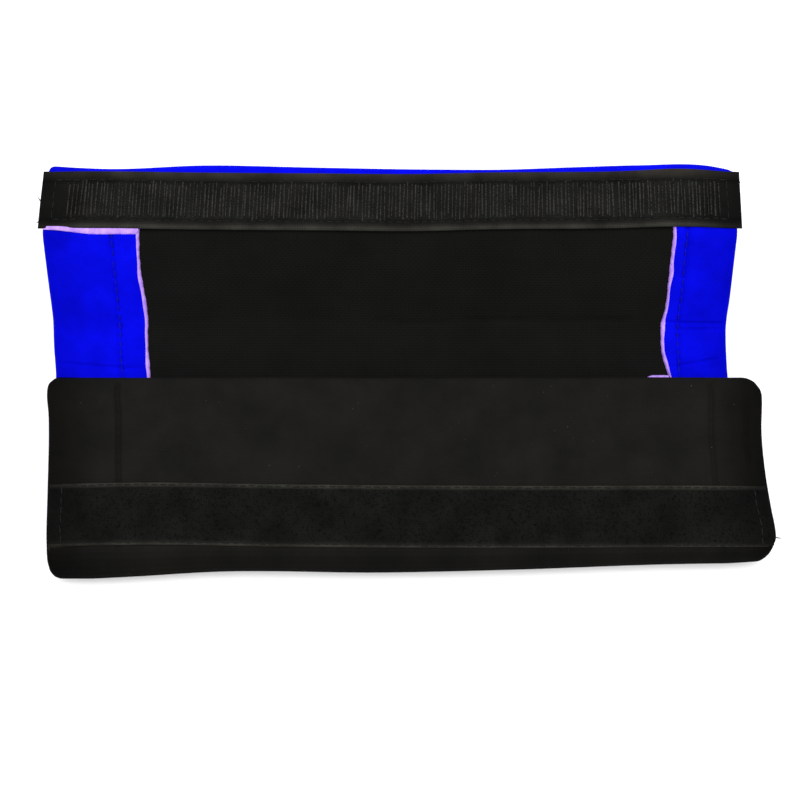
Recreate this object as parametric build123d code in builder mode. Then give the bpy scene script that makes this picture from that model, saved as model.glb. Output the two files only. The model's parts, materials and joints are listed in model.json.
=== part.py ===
"""Wrap-around shoulder pad for a 75 mm harness strap.

One padded strip of cloth, foam and lining is folded into three: a front panel, a back panel and a
flap. It is modelled as six stiff segments that hinge on each other along the length (X):

    front - bottom_fold - back - top_fold - flap - flap_edge

The pad lies on its back panel, opened half-way. X runs along the strap, Y from the bottom fold to the
flap, and Z is up. The origin is in the middle of the back panel's underside.
"""
from build123d import *
from dataclasses import dataclass
from math import cos, radians, sin, tan
import os

# ---- driving sizes, millimetres and degrees -------------------------------------------------
pad_length = 280.0            # along the strap
strap_width = 75.0            # webbing that the pad is made for
strap_side_room = 2.5         # the back panel is this much wider than the strap
front_height = 71.0           # front panel, from its hinge to its free edge
flap_height = 36.5            # flap, from its hinge to the hook tape
flap_edge_margin = 2.5        # free edge beyond the hook tape
channel_height = 5.0          # room for the strap between the hems at the bottom fold

cover_thickness = 0.9         # outer cloth with its laminated backing
foam_thickness = 2.2
lining_thickness = 0.4
hem_thickness = 1.5           # cover turned in over the lining
left_hem_width = 38.5
right_hem_width = 26.0
front_edge_hem_width = 14.0
left_seam_inset = 28.0        # stitch row, from the pad's left end
right_seam_inset = 20.5
front_corner_radius = 5.0
flap_corner_radius = 2.0

tape_width = 25.0             # standard hook-and-loop tape
tape_thickness = 0.7          # woven backing
hook_height = 0.8
pile_height = 0.8
selvedge_width = 2.5          # bare backing beside the hooks or the pile
hook_end_margin = 7.0         # bare backing at each end of the hook tape
hook_tape_overhang = 1.4      # the hook tape's cut ends stand out past the pad
loop_tape_inset = 0.6         # the loop tape's cut ends stop short of the pad's ends
loop_tape_drop = 44.0         # from the front panel's free edge to the loop tape
thread_width = 0.5
thread_height = 0.25
tape_seam_inset = 1.2         # stitch rows, from the tape's long edges

hinge_gap = 0.3               # between the ends of neighbouring segments
closure_clearance = 0.3       # between hooks and pile with the flap closed

front_tilt = 5.5              # the front panel springs up from parallel
top_fold_angle = 16.0         # slopes above the table at rest
flap_angle = 40.0
flap_edge_angle = 10.0
top_fold_closing_turn = 70.0  # the top fold's turn from rest until the flap is closed

# ---- sizes that follow ----------------------------------------------------------------------
half_length = pad_length / 2
back_height = strap_width + strap_side_room
foam_top = cover_thickness + foam_thickness
panel_thickness = foam_top + lining_thickness
hem_level = panel_thickness + hem_thickness
flap_edge_height = tape_width + flap_edge_margin
tape_stack = 2 * tape_thickness + pile_height + hook_height + closure_clearance


def along(angle):
    """Unit vector in the YZ plane, this many degrees above +Y."""
    return Vector(0, cos(radians(angle)), sin(radians(angle)))


def across(angle):
    """Unit vector square to along(angle): the inner face's normal."""
    return Vector(0, -sin(radians(angle)), cos(radians(angle)))


# The bottom fold turns the strip over in two equal steps. Slopes are those of the strip's own
# direction, from the front panel's free edge to the flap, so on these two they are negative.
bottom_fold_slope = -(180 - front_tilt) / 2
front_slope = -(180 - front_tilt)
bottom_hinge = Vector(0, 0, hem_level)
front_hinge = bottom_hinge - along(bottom_fold_slope) * channel_height

# The top fold is as long as it must be for the closed flap to lie parallel to the front panel,
# with the hooks clear of the pile.
closed_fold_angle = top_fold_angle + top_fold_closing_turn
closed_face = front_hinge - across(front_slope) * (hem_level + tape_stack)
closed_rise = closed_face.Z + (back_height - closed_face.Y) * tan(radians(front_tilt)) - hem_level
fold_reach = sin(radians(closed_fold_angle)) - cos(radians(closed_fold_angle)) * tan(radians(front_tilt))
top_fold_height = closed_rise / fold_reach

top_hinge = Vector(0, back_height, hem_level)
flap_hinge = top_hinge + along(top_fold_angle) * top_fold_height
edge_hinge = flap_hinge + along(flap_angle) * flap_height - across(flap_angle) * hem_level


@dataclass
class Segment:
    """One stiff stretch of the strip: its outer face's plane and its reach along the strip."""

    name: str
    plane: Plane
    start: float
    end: float
    start_radius: float = 0.0     # a free start, with corners of this radius
    end_radius: float = 0.0       # a free end, with corners of this radius


def outer_plane(origin, slope):
    """Plane of an outer face: local X along the pad, local Y along the strip, Z to the inner face."""
    return Plane(origin=origin, x_dir=(1, 0, 0), z_dir=across(slope))


def segment(name, hinge, slope, start, end, level=hem_level, **corners):
    """Segment whose hinge line lies at this level above its outer face, at local Y = 0."""
    return Segment(name, outer_plane(hinge - across(slope) * level, slope), start, end, **corners)


inset = hinge_gap / 2
front = segment("front", front_hinge, front_slope, -front_height, -inset,
                start_radius=front_corner_radius)
bottom_fold = segment("bottom_fold", bottom_hinge, bottom_fold_slope, inset - channel_height, -inset)
back = segment("back", Vector(0, 0, 0), 0, inset, back_height - inset, level=0)
top_fold = segment("top_fold", top_hinge, top_fold_angle, inset, top_fold_height - inset)
flap = segment("flap", flap_hinge, flap_angle, inset, flap_height - inset)
flap_edge = segment("flap_edge", edge_hinge, flap_edge_angle, inset, flap_edge_height, level=0,
                    end_radius=flap_corner_radius)


def save(part, name):
    part.label = name
    export_step(part, f"parts/{name}.step")


def window(x_from, x_to, y_from, y_to, mode):
    with Locations(((x_from + x_to) / 2, (y_from + y_to) / 2)):
        Rectangle(x_to - x_from, y_to - y_from, mode=mode)


def round_ends(seg, margin):
    """Rounds the corners of the segment's free end in the sketch being drawn."""
    if seg.start_radius:
        fillet(vertices().group_by(Axis.Y)[0], seg.start_radius - margin)
    if seg.end_radius:
        fillet(vertices().group_by(Axis.Y)[-1], seg.end_radius - margin)


def outline(seg, margin=0.0):
    """The segment's outline, drawn this far inside its free edges."""
    with BuildSketch(Plane.XY, mode=Mode.PRIVATE) as shape:
        y_from = seg.start + (margin if seg.start_radius else 0)
        y_to = seg.end - (margin if seg.end_radius else 0)
        window(margin - half_length, half_length - margin, y_from, y_to, Mode.ADD)
        round_ends(seg, margin)
    return shape.sketch


def layer(seg, kind, low, high, margin):
    """A full layer of the strip: cover, foam or lining."""
    with BuildPart() as piece:
        with BuildSketch(seg.plane.offset(low)):
            add(outline(seg, margin))
        extrude(amount=high - low)
    save(piece.part, f"{seg.name}_{kind}")


def hem(seg, kind, x_from, x_to, y_from, y_to):
    """Cover turned in over the lining: a strip on the inner face and the wall down the edge."""
    with BuildPart() as piece:
        with BuildSketch(seg.plane.offset(panel_thickness)):
            add(outline(seg))
            window(x_from, x_to, y_from, y_to, Mode.INTERSECT)
        extrude(amount=hem_thickness)
        with BuildSketch(seg.plane.offset(cover_thickness)):
            add(outline(seg))
            add(outline(seg, cover_thickness), mode=Mode.SUBTRACT)
            window(x_from, x_to, y_from, y_to, Mode.INTERSECT)
        extrude(amount=panel_thickness - cover_thickness)
    save(piece.part, f"{seg.name}_{kind}")


def bars(name, plane, rows, height):
    """Rows of thread, each a bar centred on (x, y) with its own width and length."""
    with BuildPart() as piece:
        with BuildSketch(plane):
            for x, y, size_x, size_y in rows:
                with Locations((x, y)):
                    Rectangle(size_x, size_y)
        extrude(amount=height)
    save(piece.part, name)


def tape(name, plane, half_width, y_from, height, margin=0.0, side=0.0):
    """A strip of tape or of its working face, inset at its ends and at its long edges."""
    with BuildPart() as piece:
        with BuildSketch(plane):
            window(margin - half_width, half_width - margin, y_from + side, y_from + tape_width - side,
                   Mode.ADD)
        extrude(amount=height)
    save(piece.part, name)


def tape_seams(name, plane, half_width, y_from, height):
    """Two long rows and two end rows of thread that hold a tape."""
    low = y_from + tape_seam_inset
    high = y_from + tape_width - tape_seam_inset
    end = half_width - 2 * tape_seam_inset
    length = 2 * end + thread_width
    rows = [(0, low, length, thread_width), (0, high, length, thread_width)]
    rows += [(x, (low + high) / 2, thread_width, high - low) for x in (-end, end)]
    bars(name, plane, rows, height)


os.makedirs("parts", exist_ok=True)

# ---- layers of the strip --------------------------------------------------------------------
for seg in (front, bottom_fold, back, top_fold, flap, flap_edge):
    layer(seg, "cover", 0, cover_thickness, 0)
    layer(seg, "foam", cover_thickness, foam_top, cover_thickness)
    layer(seg, "lining", foam_top, panel_thickness, cover_thickness)

# ---- end hems and their seams ---------------------------------------------------------------
left_hem_edge = left_hem_width - half_length
right_hem_edge = half_length - right_hem_width
for seg in (front, bottom_fold, back, top_fold, flap):
    hem(seg, "left_hem", -half_length, left_hem_edge, seg.start, seg.end)
    hem(seg, "right_hem", right_hem_edge, half_length, seg.start, seg.end)
    middle = (seg.start + seg.end) / 2
    seam_length = seg.end - seg.start - thread_width
    seams = [(left_seam_inset - half_length, middle, thread_width, seam_length),
             (half_length - right_seam_inset, middle, thread_width, seam_length)]
    bars(f"{seg.name}_hem_stitching", seg.plane.offset(hem_level), seams, thread_height)

# ---- long edges -----------------------------------------------------------------------------
hem(front, "edge_hem", left_hem_edge, right_hem_edge, front.start, front.start + front_edge_hem_width)
hem(flap_edge, "hem", -half_length, half_length, flap_edge.start, flap_edge.end)

# ---- hook tape on the flap's inner face -----------------------------------------------------
hook_half = half_length + hook_tape_overhang
hook_plane = flap_edge.plane.offset(hem_level)
hook_face = hook_plane.offset(tape_thickness)
tape("hook_tape", hook_plane, hook_half, flap_edge.start, tape_thickness)
tape("hook_field", hook_face, hook_half, flap_edge.start, hook_height, hook_end_margin, selvedge_width)
tape_seams("hook_tape_stitching", hook_face, hook_half, flap_edge.start, thread_height)

# ---- loop tape on the front panel's outer face ----------------------------------------------
loop_half = half_length - loop_tape_inset
loop_start = front.start + loop_tape_drop
loop_back = front.plane.offset(-tape_thickness)
loop_face = loop_back.offset(-pile_height)
loop_seams = loop_back.offset(-thread_height)
pile_end_margin = 3 * tape_seam_inset
tape("loop_tape", loop_back, loop_half, loop_start, tape_thickness)
tape("loop_pile", loop_face, loop_half, loop_start, pile_height, pile_end_margin, selvedge_width)
tape_seams("loop_tape_stitching", loop_seams, loop_half, loop_start, thread_height)
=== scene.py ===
"""Looks of a wrap-around harness shoulder pad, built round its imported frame.

The pad is one padded strip: front panel, bottom fold, back panel, top fold, flap. Every soft piece is
worked out flat, in strip coordinates, and then laid onto the folded strip:

    x   along the pad, millimetres
    u   along the strip, from the front panel's free edge to the flap's, millimetres
    n   from the outer face, 0, to the face of the hems, HEM_LEVEL, millimetres
"""

import json
import math

import bpy
import numpy as np
from bpy.props import FloatProperty, IntProperty, PointerProperty, StringProperty
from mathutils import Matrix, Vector


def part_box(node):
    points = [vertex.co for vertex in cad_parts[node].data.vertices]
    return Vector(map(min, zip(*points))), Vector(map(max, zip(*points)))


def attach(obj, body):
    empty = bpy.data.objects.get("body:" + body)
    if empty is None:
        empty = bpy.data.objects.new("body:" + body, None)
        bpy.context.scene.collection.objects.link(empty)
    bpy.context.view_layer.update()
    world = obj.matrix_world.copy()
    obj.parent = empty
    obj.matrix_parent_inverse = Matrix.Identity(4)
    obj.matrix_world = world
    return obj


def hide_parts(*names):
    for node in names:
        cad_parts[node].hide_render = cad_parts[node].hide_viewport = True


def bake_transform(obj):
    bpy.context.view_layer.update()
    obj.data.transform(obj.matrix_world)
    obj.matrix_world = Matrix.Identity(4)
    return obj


bl_info = {
    "name": "Harness Shoulder Pad",
    "version": (1, 0, 0),
    "blender": (4, 5, 0),
    "location": "View3D > Sidebar > Shoulder Pad",
    "description": "Builds a padded sleeve for a harness strap, with hook-and-loop tape",
    "category": "Object",
}

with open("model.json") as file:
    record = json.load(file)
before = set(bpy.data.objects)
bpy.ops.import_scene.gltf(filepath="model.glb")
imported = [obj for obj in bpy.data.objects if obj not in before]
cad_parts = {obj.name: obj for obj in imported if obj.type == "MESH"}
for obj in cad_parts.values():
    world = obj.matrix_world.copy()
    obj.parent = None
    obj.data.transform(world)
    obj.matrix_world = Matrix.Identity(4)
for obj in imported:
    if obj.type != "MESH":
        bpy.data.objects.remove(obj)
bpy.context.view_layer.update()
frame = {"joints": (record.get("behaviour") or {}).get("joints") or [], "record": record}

MM = 0.001


# ---- the frame, read in section --------------------------------------------------------------
def hinge(name):
    """A hinge's place in section, (y, z) in millimetres."""
    joint = next(j for j in frame["joints"] if j["name"] == name)
    return np.array(joint["pos_m"][1:]) / MM


def facing(name):
    """Slope of the face that a mount looks out of, in radians above +Y."""
    mount = next(m for m in frame["record"]["mounts"] if m["name"] == name)
    return math.atan2(-mount["axis"][1], mount["axis"][2])


def along(slope):
    return np.array((math.cos(slope), math.sin(slope)))


def across(slope):
    return np.array((-math.sin(slope), math.cos(slope)))


def reach(node, slope):
    """Length of a sloping cover in section, with half of the hinge gap that it stops short by."""
    low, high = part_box(node)
    thickness = COVER * math.sin(abs(slope))
    return ((high.y - low.y) / MM - thickness) / math.cos(slope) + HALF_GAP


HALF_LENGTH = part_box("back_cover")[1].x / MM
HALF_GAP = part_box("back_cover")[0].y / MM
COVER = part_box("back_cover")[1].z / MM
LINING_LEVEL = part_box("back_lining")[1].z / MM
HEM_LEVEL = hinge("top_fold_hinge")[1]
ROLL = HEM_LEVEL / 2
FRONT_SLOPE = facing("loop_face")
EDGE_SLOPE = facing("hook_face")
KNEE = hinge("flap_edge_flex")
TAPE_WIDTH = 25.0
TAPE_THICKNESS = 0.7
TAPE_OVERHANG = 1.4                    # how far the hook tape runs past the pad's ends, mm
HOOK_TAPE_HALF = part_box("hook_tape")[1].x / MM
LOOP_TAPE_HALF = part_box("loop_tape")[1].x / MM


def flap_slope():
    """The flap's slope, from its hinge on the inner face to the knee on the outer one."""
    span = KNEE - hinge("flap_fold")
    run = math.sqrt(span @ span - HEM_LEVEL ** 2)
    return math.atan2(span[1], span[0]) + math.atan2(HEM_LEVEL, run)


def strip_corners():
    """The inner face's corners in section, from the front panel's free edge to the flap's."""
    front = hinge("front_fold")
    middle = (flap_slope() + EDGE_SLOPE) / 2
    inner_knee = KNEE + across(middle) * HEM_LEVEL / math.cos(middle - EDGE_SLOPE)
    end = KNEE + across(EDGE_SLOPE) * HEM_LEVEL + along(EDGE_SLOPE) * reach("flap_edge_cover", EDGE_SLOPE)
    start = front + along(FRONT_SLOPE) * reach("front_cover", FRONT_SLOPE)
    return [start, front, hinge("bottom_fold_hinge"), hinge("top_fold_hinge"), hinge("flap_fold"),
            inner_knee, end]


class Strip:
    """The inner face in section: straight runs joined by arcs."""

    def __init__(self, corners, radii):
        points, slopes, self.bends = [corners[0]], [], []
        first = corners[1] - corners[0]
        slopes.append(math.atan2(first[1], first[0]))
        length = 0.0
        stations = [0.0]
        for corner, after, radius in zip(corners[1:-1], corners[2:], radii):
            leaving = after - corner
            turn = (math.atan2(leaving[1], leaving[0]) - slopes[-1] + math.pi) % math.tau - math.pi
            setback = radius * math.tan(abs(turn) / 2)
            centre = corner - along(slopes[-1]) * setback
            centre = centre + across(slopes[-1]) * math.copysign(radius, turn)
            start_slope = slopes[-1]
            for step in np.linspace(0, 1, 25):
                slope = start_slope + turn * step
                point = centre - across(slope) * math.copysign(radius, turn)
                length += float(np.linalg.norm(point - points[-1]))
                points.append(point)
                slopes.append(slope)
                stations.append(length)
            self.bends.append(length - radius * abs(turn) / 2)
        self.length = length + float(np.linalg.norm(corners[-1] - points[-1]))
        self.stations = np.array(stations + [self.length])
        self.points = np.array(points + [corners[-1]])
        self.slopes = np.array(slopes + [slopes[-1]])

    def at(self, u):
        """Point and slope of the inner face at these stations."""
        y = np.interp(u, self.stations, self.points[:, 0])
        z = np.interp(u, self.stations, self.points[:, 1])
        return y, z, np.interp(u, self.stations, self.slopes)


CORNERS = strip_corners()
STRIP = Strip(CORNERS, radii=(2.6, 2.6, 25.0, 20.0, 8.0))
FRONT_BEND, BOTTOM_BEND, TOP_BEND, FLAP_BEND, KNEE_BEND = STRIP.bends
KNEE_STATION = STRIP.length - reach("flap_edge_cover", EDGE_SLOPE)
LOOP_STATION = FRONT_BEND - 27.0


# ---- settings --------------------------------------------------------------------------------
class PadSettings(bpy.types.PropertyGroup):
    """Sizes and colours of the pad that a user would change."""

    left_hem: FloatProperty(
        name="Left hem", description="Width of the left end hem, mm", default=38.5, min=30, max=60)
    right_hem: FloatProperty(
        name="Right hem", description="Width of the right end hem, mm", default=26.0, min=20, max=60)
    left_seam: FloatProperty(
        name="Left seam", description="Stitch row's distance from the left end, mm", default=28.0)
    right_seam: FloatProperty(
        name="Right seam", description="Stitch row's distance from the right end, mm", default=20.5)
    hook_pitch: FloatProperty(
        name="Hook pitch", description="Spacing of the hook tape's ribs, mm", default=1.5, min=0.8)
    hook_rows: IntProperty(
        name="Hooks per rib", description="Number of hooks along each rib", default=11, min=4)
    loop_count: IntProperty(
        name="Loops", description="Number of loops in the pile", default=4300, min=100)
    stitch_length: FloatProperty(
        name="Stitch length", description="Length of one stitch, mm", default=3.4, min=1.5)
    outer_colour: StringProperty(
        name="Outer cloth", description="sRGB colour of the outer cloth", default="#070BE6")
    inner_colour: StringProperty(
        name="Front cloth", description="sRGB colour of the front panel's cloth", default="#1D1C1A")


# ---- the pad's softness ----------------------------------------------------------------------
def smooth(value, low, high):
    """0 before low, 1 after high, and a smooth step between."""
    t = np.clip((np.asarray(value, float) - low) / (high - low), 0, 1)
    return t * t * (3 - 2 * t)


def bell(value, width):
    return np.exp(-(np.asarray(value, float) / width) ** 2)


def through(value, points):
    """A smooth line through a few points."""
    at, height = np.array(points, float).T
    slope = np.gradient(height, at)
    value = np.clip(value, at[0], at[-1])
    i = np.clip(np.searchsorted(at, value) - 1, 0, len(at) - 2)
    span = at[i + 1] - at[i]
    t = (value - at[i]) / span
    start, end = height[i], height[i + 1]
    return (start + (end - start) * t * t * (3 - 2 * t)
            + span * t * (1 - t) * (slope[i] * (1 - t) - slope[i + 1] * t))


def wave(x, u):
    """Slow swells of soft cloth, from -1 to 1."""
    return (0.45 * np.sin(x / 23.0 + u / 41.0 + 0.7) + 0.35 * np.sin(x / 13.1 - u / 29.0 + 2.1)
            + 0.2 * np.sin(x / 7.3 + u / 17.0 + 4.0))


def softness(u):
    """How far each panel swells, mm. The back panel lies flat, and the sewn tapes hold theirs straight."""
    front = 0.08 + 0.45 * (1 - smooth(u, LOOP_STATION - 16, LOOP_STATION - 3))
    front = front * (1 - smooth(u, FRONT_BEND - 6, FRONT_BEND))
    flap = 0.6 * smooth(u, TOP_BEND, FLAP_BEND + 10)
    return front + flap * (1 - 0.85 * smooth(u, KNEE_STATION - 16, KNEE_STATION - 3))


# The strip folds askew and its cloth gives, so its two ends wander: (station, shift along the pad), mm.
LEFT_END = ((0, 0.1), (5, -0.5), (16, 0.9), (37, 2.4), (50, 3.1), (64, 3.9), (FRONT_BEND + 2, 4.8),
            (100, 0.6), (130, -1.2), (TOP_BEND, -3.0), (TOP_BEND + 12, -4.2), (FLAP_BEND + 10, -4.8),
            (KNEE_STATION - 12, -5.1), (KNEE_STATION, -5.1), (STRIP.length, -3.9))
RIGHT_END = ((0, 3.6), (7, 3.9), (22, 2.6), (40, 2.8), (52, 3.8), (62, 4.8), (67, 4.6),
             (FRONT_BEND + 2, 3.9), (100, 0.5), (130, -3.2), (TOP_BEND, -3.9), (TOP_BEND + 16, -4.2),
             (FLAP_BEND + 10, -3.4), (KNEE_STATION - 20, -3.2), (KNEE_STATION, -3.0), (STRIP.length, -3.0))
# How far the bottom fold and the flap's free edge stray along the strip: (place along the pad, mm).
FOLD_LINE = ((-140, -3.3), (-106, -1.6), (-78, 0.1), (-10, -0.1), (40, 1.0), (100, 3.1), (140, 3.7))
FREE_LINE = ((-140, 0.4), (-116, -0.8), (-77, 0.7), (-30, -0.2), (20, -1.1), (45, -1.1), (75, 0.0),
             (100, 0.8), (130, 0.5), (140, -1.6))


def along_pad(x, u):
    """x of the strip as it lies: its ends follow their own lines, and what is between goes with them."""
    share = (x + HALF_LENGTH) / (2 * HALF_LENGTH)
    return x + (1 - share) * through(u, LEFT_END) + share * through(u, RIGHT_END)


def fold_stray(x):
    """How far the bottom fold strays from its hinges, mm: it runs askew, and its ends round off."""
    corner = np.where(x < 0, 5.0, 6.5)
    end = np.clip((np.abs(x) - (HALF_LENGTH - corner)) / corner, 0, 1)
    return through(x, FOLD_LINE) + 0.8 * corner * (1 - np.sqrt(1 - 0.99 * end ** 2))


def fold_skew(x, u, n):
    """The bottom fold's stray at a point. The inner face turns tightly, so its skew starts further back."""
    start = FRONT_BEND - 3.5 - 3.0 * np.clip(n, 0, HEM_LEVEL)
    near = smooth(u, start, FRONT_BEND + 1.5) * (1 - smooth(u, BOTTOM_BEND, BOTTOM_BEND + 18))
    return near * fold_stray(x)


def place(x, u, n):
    """Row-frame points, in metres, of points given in strip coordinates."""
    x, u, n = np.broadcast_arrays(*(np.asarray(v, float) for v in (x, u, n)))
    u = u + smooth(u, STRIP.length - 3.2, STRIP.length) * through(x, FREE_LINE)
    y, z, slope = STRIP.at(u)
    over = np.maximum(u - STRIP.length, 0) + np.minimum(u, 0)
    drop = HEM_LEVEL - n - softness(u) * wave(x, u)
    along_y = y + np.sin(slope) * drop + np.cos(slope) * over + fold_skew(x, u, n)
    height = z - np.cos(slope) * drop + np.sin(slope) * over
    return np.stack((along_pad(x, u), along_y, height), axis=-1) * MM


def seam_dip(x, u, settings):
    """Depth of the dimple along the end seams, from 0 to 1, a little uneven from stitch to stitch."""
    pull = 0.8 + 0.2 * np.sin(math.tau * u / settings.stitch_length)
    left = bell(x + HALF_LENGTH - settings.left_seam, 1.0)
    right = bell(x - HALF_LENGTH + settings.right_seam, 1.0)
    return pull * (left + right)


def puckers(x, u, settings):
    """Short wrinkles that run off the end seams."""
    left = np.exp(-np.abs(x + HALF_LENGTH - settings.left_seam) / 7)
    right = np.exp(-np.abs(x - HALF_LENGTH + settings.right_seam) / 7)
    return (left + right) * (np.sin(u / 1.9 + x / 9) * 0.5 + np.sin(u / 3.1 - x / 7) * 0.5)


# Creases of the inner face: start x, end x, station at the start, rise over the length, depth.
CREASES = (
    (-8, 102, FLAP_BEND + 0.3, 0.6, 0.8),
    (114, 141, FLAP_BEND + 0.4, -0.4, 1.0),
    (118, 141, FLAP_BEND - 3.2, 0.3, 0.5),
    (116, 137, TOP_BEND + 3.0, 3.4, 0.8),
    (-141, -103, TOP_BEND + 4.5, -2.5, 0.7),
    (-100, -20, FLAP_BEND + 0.6, 0.5, 0.25),
)


def creases(x, u):
    depth = np.zeros(np.broadcast(x, u).shape)
    for start, end, station, rise, deep in CREASES:
        line = station + rise * (x - start) / (end - start) + 0.35 * np.sin(x / 9.0 + station)
        span = smooth(x, start - 3, start + 6) * (1 - smooth(x, end - 6, end + 3))
        depth = depth + deep * span * bell(u - line, 0.55)
    return depth


# ---- meshes ----------------------------------------------------------------------------------
class Patchwork:
    """Grids of quads that are gathered and sewn into one mesh."""

    def __init__(self):
        self.points, self.faces, self.uvs, self.slots = [], [], [], []

    def grid(self, points, x, u, flip=False, slots=0):
        rows, columns = points.shape[:2]
        first = sum(len(p) for p in self.points)
        self.points.append(points.reshape(-1, 3))
        x, u = np.broadcast_arrays(x, u)
        self.uvs.append(np.stack((x, u), axis=-1).reshape(-1, 2))
        corner = first + np.arange(rows * columns).reshape(rows, columns)
        quads = np.stack((corner[:-1, :-1], corner[:-1, 1:], corner[1:, 1:], corner[1:, :-1]), axis=-1)
        if flip:
            quads = quads[..., ::-1]
        self.faces.append(quads.reshape(-1, 4))
        self.slots.append(np.broadcast_to(slots, quads.shape[:2]).reshape(-1))

    def make(self, name, materials):
        """One object from the grids, with its doubles merged and its cloth coordinates in a UV map."""
        points = np.concatenate(self.points)
        faces = np.concatenate(self.faces)
        uvs = np.concatenate(self.uvs)
        mesh = bpy.data.meshes.new(name)
        mesh.from_pydata(points.tolist(), [], faces.tolist())
        layer = mesh.uv_layers.new(name="cloth")
        layer.data.foreach_set("uv", uvs[faces.reshape(-1)].astype(np.float32).ravel())
        mesh.polygons.foreach_set("material_index", np.concatenate(self.slots).astype(np.int32))
        for finish in materials:
            mesh.materials.append(finish)
        piece = new_object(name, mesh)
        select_only(piece)
        bpy.ops.object.mode_set(mode="EDIT")
        bpy.ops.mesh.select_all(action="SELECT")
        bpy.ops.mesh.remove_doubles(threshold=0.000002)
        bpy.ops.object.mode_set(mode="OBJECT")
        bpy.ops.object.shade_smooth()
        return piece


def new_object(name, data):
    item = bpy.data.objects.new(name, data)
    bpy.context.scene.collection.objects.link(item)
    return item


def mesh_points(mesh):
    """The vertices' places, one row each, in metres."""
    points = np.empty(len(mesh.vertices) * 3)
    mesh.vertices.foreach_get("co", points)
    return points.reshape(-1, 3)


def move_points(mesh, points):
    mesh.vertices.foreach_set("co", points.ravel())
    mesh.update()


def select_only(piece):
    bpy.ops.object.select_all(action="DESELECT")
    piece.select_set(True)
    bpy.context.view_layer.objects.active = piece


def apply_modifier(piece, kind, **settings):
    """Adds a modifier with its settings and applies it."""
    select_only(piece)
    modifier = piece.modifiers.new(kind.title(), kind)
    for key, value in settings.items():
        setattr(modifier, key, value)
    bpy.ops.object.modifier_apply(modifier=modifier.name)


def tape_seat(x, overhang):
    """How far a tape's ends bend down with the pad's rolled ends, mm."""
    inside = np.maximum(HALF_LENGTH + overhang - np.abs(x), 0)
    return 0.7 * (1 - smooth(inside, 0, 6)) + end_droop(np.clip(x, -HALF_LENGTH, HALF_LENGTH))


def lay(piece, station, level, outward=False, stray=((-1, 0), (1, 0)), overhang=0.0):
    """Lays a piece that was modelled flat onto the strip: its y starts at a station, its z at a level.

    Its flat shape, in millimetres, is kept as its cloth coordinates. On the outer face z grows outwards,
    so n falls and the faces are turned over.
    """
    mesh = piece.data
    flat = mesh_points(mesh) / MM
    index = np.empty(len(mesh.loops), np.int32)
    mesh.loops.foreach_get("vertex_index", index)
    layer = mesh.uv_layers.new(name="cloth")
    layer.data.foreach_set("uv", flat[index][:, :2].ravel())
    x, y, rise = flat[:, 0], flat[:, 1], flat[:, 2] - tape_seat(flat[:, 0], overhang)
    n = level - rise if outward else level + rise
    move_points(mesh, place(x, station + y + through(x, stray), n))
    if outward:
        mesh.flip_normals()


# ---- sections of the strip -------------------------------------------------------------------
def between(start, end, step):
    return np.linspace(start, end, max(2, int(math.ceil(abs(end - start) / step)) + 1))


def spaced(start, end, step, spots=()):
    """Positions from start to end, three times as close within 4 mm of some spots."""
    places = [start]
    while places[-1] < end - 0.4 * step:
        near = min((abs(places[-1] - spot) for spot in spots), default=math.inf)
        places.append(places[-1] + (step / 3 if near < 4 else step))
    return np.append(places[:-1], end) if len(places) > 2 else np.array((start, end))


def rolled(length, step, spots=()):
    """Distances from a rolled edge, close together round the roll."""
    turn = np.linspace(0, math.pi / 2, 8)
    return np.concatenate((ROLL * (1 - np.cos(turn)), spaced(ROLL, length, step, spots)[1:]))


def round_corner(a, b, radius, reach_in=10.0):
    """Moves grid points near a square corner so that their rings round it off.

    a and b are distances from the two edges that meet there.
    """
    a, b = np.broadcast_arrays(np.asarray(a, float), np.asarray(b, float))
    near, far = np.minimum(a, b), np.maximum(a, b)
    ring = np.maximum(radius - near, 0.01)
    straight = np.maximum(reach_in - near - ring, 0)
    path = (reach_in - far) / np.maximum(reach_in - near, 1e-6) * (straight + ring * math.pi / 4)
    angle = np.clip((path - straight) / ring, 0, math.pi / 4)
    before = path <= straight
    new_far = np.where(before, reach_in - path, near + ring * (1 - np.sin(angle)))
    new_near = np.where(before, near, near + ring * (1 - np.cos(angle)))
    inside = far < reach_in
    new_far, new_near = np.where(inside, new_far, far), np.where(inside, new_near, near)
    wider = a >= b
    return np.where(wider, new_far, new_near), np.where(wider, new_near, new_far)


def roll_level(distance, outer):
    """Level of a face near a rolled edge: it turns through a half circle from face to face."""
    inward = np.clip(ROLL - distance, 0, ROLL)
    half = np.sqrt(np.maximum(ROLL ** 2 - inward ** 2, 0))
    return ROLL - half if outer else ROLL + half


def end_droop(x):
    """How much thinner the pad is towards its ends, each face, mm."""
    inside = HALF_LENGTH - np.abs(x)
    return 0.6 * smooth(inside, 0, 3) * (1 - smooth(inside, 2, 19))


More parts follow.
